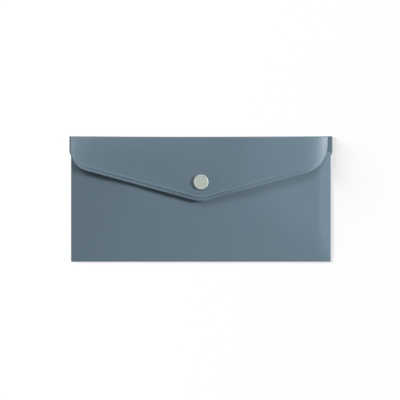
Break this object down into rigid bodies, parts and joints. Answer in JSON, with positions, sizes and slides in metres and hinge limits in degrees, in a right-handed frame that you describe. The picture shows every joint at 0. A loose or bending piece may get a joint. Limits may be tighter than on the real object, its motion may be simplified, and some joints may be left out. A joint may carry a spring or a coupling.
{
  "type": "document wallet",
  "caption": "Slim landscape document wallet of welded PVC film with a wide pointed flap that folds over the front and closes with a round metal press stud.",
  "frame": {"origin": "middle of the wallet, on the surface that its back lies on", "axes": "+X along the fold, +Y towards the fold, +Z out of the front"},
  "size_m": [0.2432, 0.116, 0.0116],
  "materials": {
    "pvc_film": "soft satin PVC film, slate blue",
    "pvc_lining": "thin matte PVC film, slate blue",
    "nickel_plate": "satin nickel plate on pressed brass",
    "spring_wire": "drawn spring wire"
  },
  "bodies": {
    "pocket": {"back_panel": "pvc_film", "front_panel": "pvc_film", "snap_stud": "nickel_plate", "snap_post": "nickel_plate"},
    "spine": {"fold_spine": "pvc_film"},
    "flap": {"flap_cover": "pvc_film", "flap_lining": "pvc_lining", "snap_cap": "nickel_plate", "snap_cap_rivet": "nickel_plate", "snap_socket": "nickel_plate", "snap_spring": "spring_wire"}
  },
  "joints": [
    {"name": "back_crease", "type": "hinge", "parent": "pocket", "child": "spine", "pos_m": [0, 0.05775, 0.00025], "axis": [-1, 0, 0], "range_deg": [0, 89]},
    {"name": "flap_crease", "type": "hinge", "parent": "spine", "child": "flap", "pos_m": [0, 0.05775, 0.0098], "axis": [-1, 0, 0], "range_deg": [0, 89]}
  ],
  "couplings": [
    {"joint": "back_crease", "follows": "flap_crease", "ratio": 1}
  ]
}
